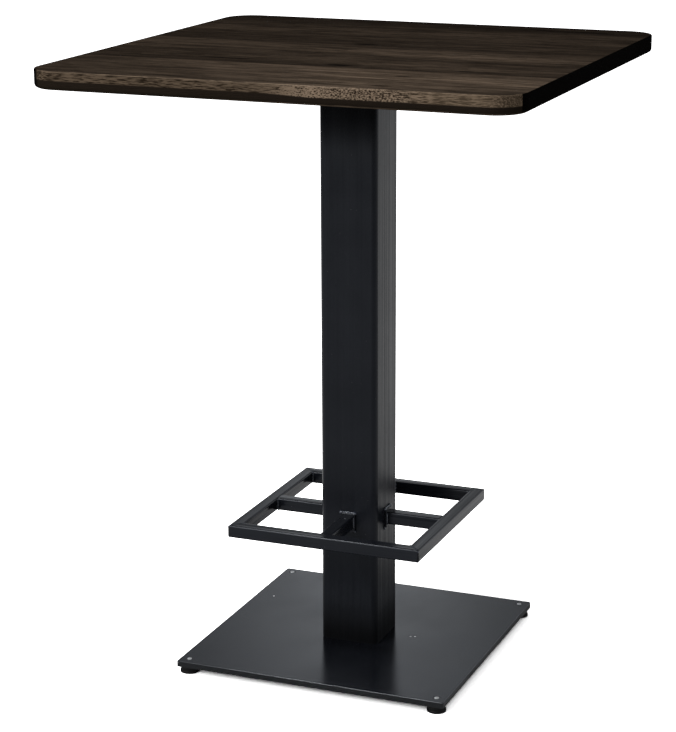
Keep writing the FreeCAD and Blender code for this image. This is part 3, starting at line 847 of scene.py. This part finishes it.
# ---------------------------------------------------------------------------------------------------------
# Footrest rails
# Four square steel tubes, mitred, welded into a frame and powder coated. The welds are ground back on the
# faces and left as laid in the inner corners, with a few small runs down the outer ones.
# ---------------------------------------------------------------------------------------------------------

RAIL_COAT = {axis: powder_coat(f"powder_coat_rail_{axis}", drawn_along=axis, mitred=True, **tube_coat)
             for axis in "xy"}

# Up the inner corner and over its head, across the upper face, and three small runs down the outer corner
low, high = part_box("footrest_rail_right")
inner = low.x - 0.0003
outer = high.x - 0.0006
weld = lay_weld(
    "mitre_weld", 12,
    ((inner, -inner, low.z + 0.002), (inner, -inner, high.z - 0.002), 0.0034),
    ((inner + 0.0010, -inner - 0.0010, high.z - 0.0014), (inner + 0.0022, -inner - 0.0022, high.z - 0.0013),
     0.0034),
    ((inner + 0.0020, -inner - 0.0020, high.z - 0.0003), (outer - 0.0024, 0.0024 - outer, high.z - 0.0003),
     0.0015),
    ((outer, -outer, high.z - 0.0030), (outer, -outer, high.z - 0.0024), 0.0024),
    ((outer, -outer, low.z + 0.0120), (outer, -outer, low.z + 0.0150), 0.0015),
    ((outer, -outer, low.z + 0.0055), (outer, -outer, low.z + 0.0085), 0.0013),
)
weld_on_sides(weld, "mitre_weld", {"front_right": 0, "back_right": 1, "back_left": 2, "front_left": 3})
for side in SIDES:
    dress(f"footrest_rail_{side}", RAIL_COAT["x" if side in ("front", "back") else "y"])


# ---------------------------------------------------------------------------------------------------------
# Carrier plate and wood screws
# A flat steel plate, welded all round on the head of the column. Four hexagon-headed wood screws go up
# through it into the oak.
# ---------------------------------------------------------------------------------------------------------

carrier_low, carrier_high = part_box("top_carrier_plate")
column_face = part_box("column_tube")[1].x
column_flat = 0.041
screw_flats = 0.010
screw_radius = 0.003
screw_point = 0.005
screw_inset = 0.025
seam_out = 0.0006
seam_thickness = 0.0046

dress("top_carrier_plate", powder_coat("powder_coat_carrier"))
seam_x = column_face + seam_out
seam_z = carrier_low.z - seam_out
weld = lay_weld("head_weld", 21,
                ((seam_x, -column_flat, seam_z), (seam_x, column_flat, seam_z), seam_thickness))
weld_on_sides(weld, "head_weld", SIDES)

low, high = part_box("wood_screws")
screw = hexagon_screw(screw_flats, low.z, carrier_low.z, screw_radius, high.z, screw_point)
set_of_four(screw, carrier_high.x - screw_inset, "hexagon_wood_screws", "wood_screws")


# ---------------------------------------------------------------------------------------------------------
# Tabletop staves
# Seven oak boards, glued edge to edge and planed as one top, stained dark and brushed. The long edges keep
# more of the oak's own colour, and the end grain drinks so much stain that it is almost black.
# ---------------------------------------------------------------------------------------------------------

top_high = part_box("tabletop_stave_1")[1]
corner_radius = 0.050
rim_chamfer = 0.0012
stain = (1, 0.725, 0.515)
ends_over = (-0.40, 0.20)
glue_line = 0.0003
glue_tone = 0.45
grain_wander = (0, 0.034, 0.022)
early_pores = 0.10
pore_starts_over = (0.60, 0.70)
pore_depth = 0.00014
brushed_depth = 0.0012
oak_dullness = (0.74, 0.62)
oak_mirror = 0.0005
RINGS = {"Scale": 70, "Distortion": 1.8, "Detail": 2, "Detail Scale": 0.4}

# Each pattern in the wood: how often it repeats in a metre along, across and through a board, how finely
# it is broken up, and where it starts
PATTERNS = {
    "fibre": ((26, 650, 650), 3, 3),
    "pores": ((50, 1400, 1400), 2, 5),
    "cloud": ((2.2, 26, 26), 4, 9),
    "streak": ((9, 110, 110), 5, 11),
    "comb": ((11, 60, 60), 4, 15),
    "patch": ((1.6, 7, 7), 2, 13),
    "dash": ((15, 170, 170), 3, 17),
}
# How each pattern takes the stain: while it goes from a low to a high value, from one share to another
FIGURE = {
    "ring": (0, 1, 0.90, 1.08),
    "fibre": (0.25, 0.75, 0.80, 1.20),
    "streak": (0.30, 0.70, 0.72, 1.28),
    "cloud": (0.25, 0.75, 0.74, 1.26),
    "patch": (0.25, 0.75, 0.76, 1.24),
    "dash": (0.30, 0.40, 0.50, 1),
    "comb": (0.34, 0.54, 0.68, 1.06),
    "pore": (0, 1, 1, 0.50),
}

# The edges' colours, and where the long edge turns from stained to bare, loses its short flecks, loses its
# painted highlight along the rim and was planed smoother, all in x. The edge carries a painted highlight
# along its rim, and painted shade below its pale band.
edge_gap = (0.0140, 0.0096, 0.0060)
edge_wood = (0.205, 0.150, 0.105)
stained_edge = (0.082, 0.059, 0.040)
planed_edge = (0.096, 0.069, 0.045)
painted_rim_highlight = (0.170, 0.127, 0.092)
# A painted shade, for the round-over below the long edge's pale band
painted_shade_under_edge = (0.0120, 0.0088, 0.0064)
end_dark = (0.0009, 0.0008, 0.0008)
end_pale = (0.0032, 0.0027, 0.0023)
pale_band = 0.0162
band_ragged = 0.0008
band_slant = 0.0012
bare_over = (-0.02, 0.10)
flecks_end_over = (0.18, 0.26)
rim_highlight_fades_over = (0.10, 0.20)
planed_over = (0.20, 0.30)
corners_over = (-0.1, 0.1)
corner_reach = (1.1, 0.42)
corner_soft = (0.018, 0.0006)


def oak_board(name, low_y, high_y, tone, heart, ends, pith, tilt, knots=()):
    """Brushed oak with a dark stain of one tone, lighter or darker along the heart of the board and at its
    left and right ends. The pith, in y and z, is where the middle of the tree lay, and the tilt lets the
    rings run out in arches."""
    finish = Finish(name)
    shift = 40 * (low_y + 1)

    # The grain wanders a few millimetres along the board.
    wander = finish.noise((2.5, 9, 9), shift=shift)["Color"]
    centred = finish.add("ShaderNodeVectorMath", operation="SUBTRACT")
    finish.join(wander, centred.inputs[0])
    centred.inputs[1].default_value = (0.5, 0.5, 0.5)
    swing = finish.add("ShaderNodeVectorMath", operation="MULTIPLY_ADD")
    finish.join(centred.outputs[0], swing.inputs[0])
    swing.inputs[1].default_value = grain_wander
    finish.join(finish.place, swing.inputs[2])
    grain = swing.outputs[0]

    # Growth rings round the pith, the finer patterns, and open pores in the rings' early wood.
    tree_axis = finish.add("ShaderNodeMapping")
    tree_axis.inputs["Location"].default_value = (0, -pith[0], -pith[1])
    tree_axis.inputs["Rotation"].default_value = (0, tilt, 0)
    finish.join(grain, tree_axis.inputs["Vector"])
    wave = finish.add("ShaderNodeTexWave", wave_type="RINGS", rings_direction="X", wave_profile="SAW")
    for socket, value in RINGS.items():
        wave.inputs[socket].default_value = value
    finish.join(tree_axis.outputs[0], wave.inputs["Vector"])
    ring = wave.outputs["Fac"]
    wood = {pattern: finish.noise(repeats, detail, grain, shift + start)["Fac"]
            for pattern, (repeats, detail, start) in PATTERNS.items()}
    fibre = wood["fibre"]
    early = finish.calculate("MULTIPLY", finish.calculate("SUBTRACT", 1, ring), early_pores)
    pore = finish.ramp(finish.calculate("ADD", wood["pores"], early), *pore_starts_over)
    wood.update(ring=ring, pore=pore)

    # The stain's strength: the board's own tone, its heart, its glue lines, its figure, its ends and knots.
    along = finish.apart(grain)
    off_middle = finish.calculate("ABSOLUTE", finish.calculate("SUBTRACT", along["Y"], (low_y + high_y) / 2))
    half = (high_y - low_y) / 2
    strength = finish.ramp(off_middle, 0.1 * half, 0.9 * half, tone * heart, tone)
    for line_y in (low_y, high_y):
        off_line = finish.calculate("ABSOLUTE", finish.calculate("SUBTRACT", finish.spot["Y"], line_y))
        joint = finish.ramp(off_line, glue_line, 2 * glue_line, glue_tone, 1)
        strength = finish.calculate("MULTIPLY", strength, joint)
    for pattern, shares in FIGURE.items():
        strength = finish.calculate("MULTIPLY", strength, finish.ramp(wood[pattern], *shares))
    strength = finish.calculate("MULTIPLY", strength, finish.ramp(along["X"], *ends_over, *ends))
    for knot_x, knot_y, length, width in knots:
        knot = finish.add("ShaderNodeMapping")
        knot.inputs["Scale"].default_value = (1 / length, 1 / width, 0)
        knot.inputs["Location"].default_value = (-knot_x / length, -knot_y / width, 0)
        finish.join(finish.place, knot.inputs["Vector"])
        away = finish.add("ShaderNodeVectorMath", operation="LENGTH")
        finish.join(knot.outputs[0], away.inputs[0])
        frayed = finish.calculate("ADD", away.outputs["Value"], finish.ramp(fibre, 0.3, 0.7, -0.2, 0.2))
        strength = finish.calculate("MULTIPLY", strength, finish.ramp(frayed, 0.3, 1.1, 0.12, 1))
    face = finish.add("ShaderNodeVectorMath", operation="SCALE")
    face.inputs[0].default_value = stain
    finish.join(strength, face.inputs["Scale"])

    # Where the top ends: how far a point lies beyond the centres of its round corners.
    beyond = []
    for axis in "XY":
        past = finish.calculate("ABSOLUTE", finish.spot[axis])
        past = finish.calculate("SUBTRACT", past, top_high.x - corner_radius)
        beyond.append(finish.calculate("MAXIMUM", past, 0))
    squares = [finish.calculate("MULTIPLY", value, value) for value in beyond]
    outward = finish.calculate("SQRT", finish.calculate("ADD", *squares))
    rim_start = corner_radius - rim_chamfer
    on_edge = finish.ramp(outward, rim_start - 0.0002, rim_start + 0.0001)
    reach = finish.ramp(finish.spot["X"], *corners_over, *corner_reach)
    reach = finish.calculate("MULTIPLY", beyond[0], reach)
    soft = finish.ramp(finish.spot["X"], *corners_over, *corner_soft)
    long_side = finish.ramp(finish.calculate("SUBTRACT", beyond[1], reach), 0, soft)

    # The brushed long edge: pale wood over dark gaps, more stained to the left and planed smoother to the
    # right, with a painted highlight along its rim and a band of painted shade below.
    torn = finish.noise((55, 620, 620), 4, shift=shift + 2)["Fac"]
    flecks = finish.noise((300, 650, 650), 5, shift=shift + 6)["Fac"]
    patches = finish.noise((6, 40, 40), 2, shift=shift + 4)["Fac"]
    bare = finish.ramp(finish.spot["X"], *bare_over)
    short = finish.calculate("MULTIPLY", bare, finish.ramp(finish.spot["X"], *flecks_end_over, 0.75, 0.1))
    toward_flecks = finish.calculate("MULTIPLY", short, finish.calculate("SUBTRACT", flecks, torn))
    brushing = finish.calculate("ADD", torn, toward_flecks)
    brushing = finish.calculate("ADD", brushing, finish.ramp(patches, 0.3, 0.7, -0.04, 0.04))
    brushing = finish.calculate("ADD", brushing, finish.ramp(bare, 0, 1, 0, -0.02))
    pale_wood = finish.blend(bare, stained_edge, edge_wood)
    brushed = finish.blend(finish.ramp(brushing, 0.41, 0.55), edge_gap, pale_wood)
    brushed = finish.blend(finish.ramp(finish.spot["X"], *planed_over, 0, 0.5), brushed, planed_edge)
    # A painted highlight: a paler line just below the top along the long edge.
    below_rim = finish.calculate("SUBTRACT", top_high.z, finish.spot["Z"])
    rim_highlight_share = finish.ramp(bare, 0, 1, 0.35, finish.ramp(finish.spot["X"], *rim_highlight_fades_over, 1, 0.3))
    rim = finish.calculate("MULTIPLY", finish.ramp(below_rim, 0.0010, 0.0030, 0.7, 0), rim_highlight_share)
    brushed = finish.blend(rim, brushed, painted_rim_highlight)
    # Painted shade: the long edge is darker below its pale band, over the round-over underneath.
    ragged = finish.ramp(torn, 0.2, 0.8, -band_ragged, band_ragged)
    ragged = finish.calculate("ADD", ragged, finish.ramp(bare, 0, 1, band_slant, -band_slant))
    shade_band = finish.ramp(finish.calculate("ADD", below_rim, ragged), pale_band - 0.0010, pale_band + 0.0010)
    long_edge = finish.blend(shade_band, brushed, painted_shade_under_edge)
    end_edge = finish.colours(ring, (0, end_dark), (1, end_pale))
    colour = finish.blend(on_edge, face.outputs[0], finish.blend(long_side, end_edge, long_edge))

    lift = finish.calculate("SUBTRACT", finish.calculate("MULTIPLY", fibre, 0.4), pore)
    normal = finish.relief(lift, pore_depth)
    normal = finish.relief(finish.calculate("MULTIPLY", brushing, on_edge), brushed_depth, normal)
    finish.set(Base_Color=colour, Roughness=finish.ramp(fibre, 0.3, 0.7, *oak_dullness), Normal=normal,
               Specular_IOR_Level=oak_mirror)
    return finish.material


# tone, heart, ends (left, right), pith (y, z), tilt, knots (x, y, length, width)
STAVES = {
    1: (0.048, 0.95, (0.55, 1.20), (-0.380, 0.965), 0.012, ((0.178, -0.367, 0.022, 0.006),)),
    2: (0.045, 1.18, (0.50, 1.32), (-0.290, 0.940), -0.020, ((0.178, -0.267, 0.020, 0.006),)),
    3: (0.0255, 1.25, (0.72, 1.00), (-0.150, 0.985), 0.016,
        ((0.040, -0.182, 0.034, 0.013), (-0.160, -0.164, 0.070, 0.008), (0.249, -0.182, 0.022, 0.006))),
    4: (0.038, 1.42, (0.86, 0.90), (-0.010, 0.930), -0.010, ()),
    5: (0.026, 0.85, (0.85, 0.95), (0.130, 0.990), 0.022, ((-0.016, 0.069, 0.030, 0.012),)),
    6: (0.030, 1.05, (0.88, 0.98), (0.260, 0.945), -0.015, ()),
    7: (0.0175, 0.75, (0.92, 1.05), (0.345, 0.975), 0.018, ()),
}
for number, board in STAVES.items():
    low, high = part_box(f"tabletop_stave_{number}")
    dress(f"tabletop_stave_{number}", oak_board(f"oak_board_{number}", low.y, high.y, *board))
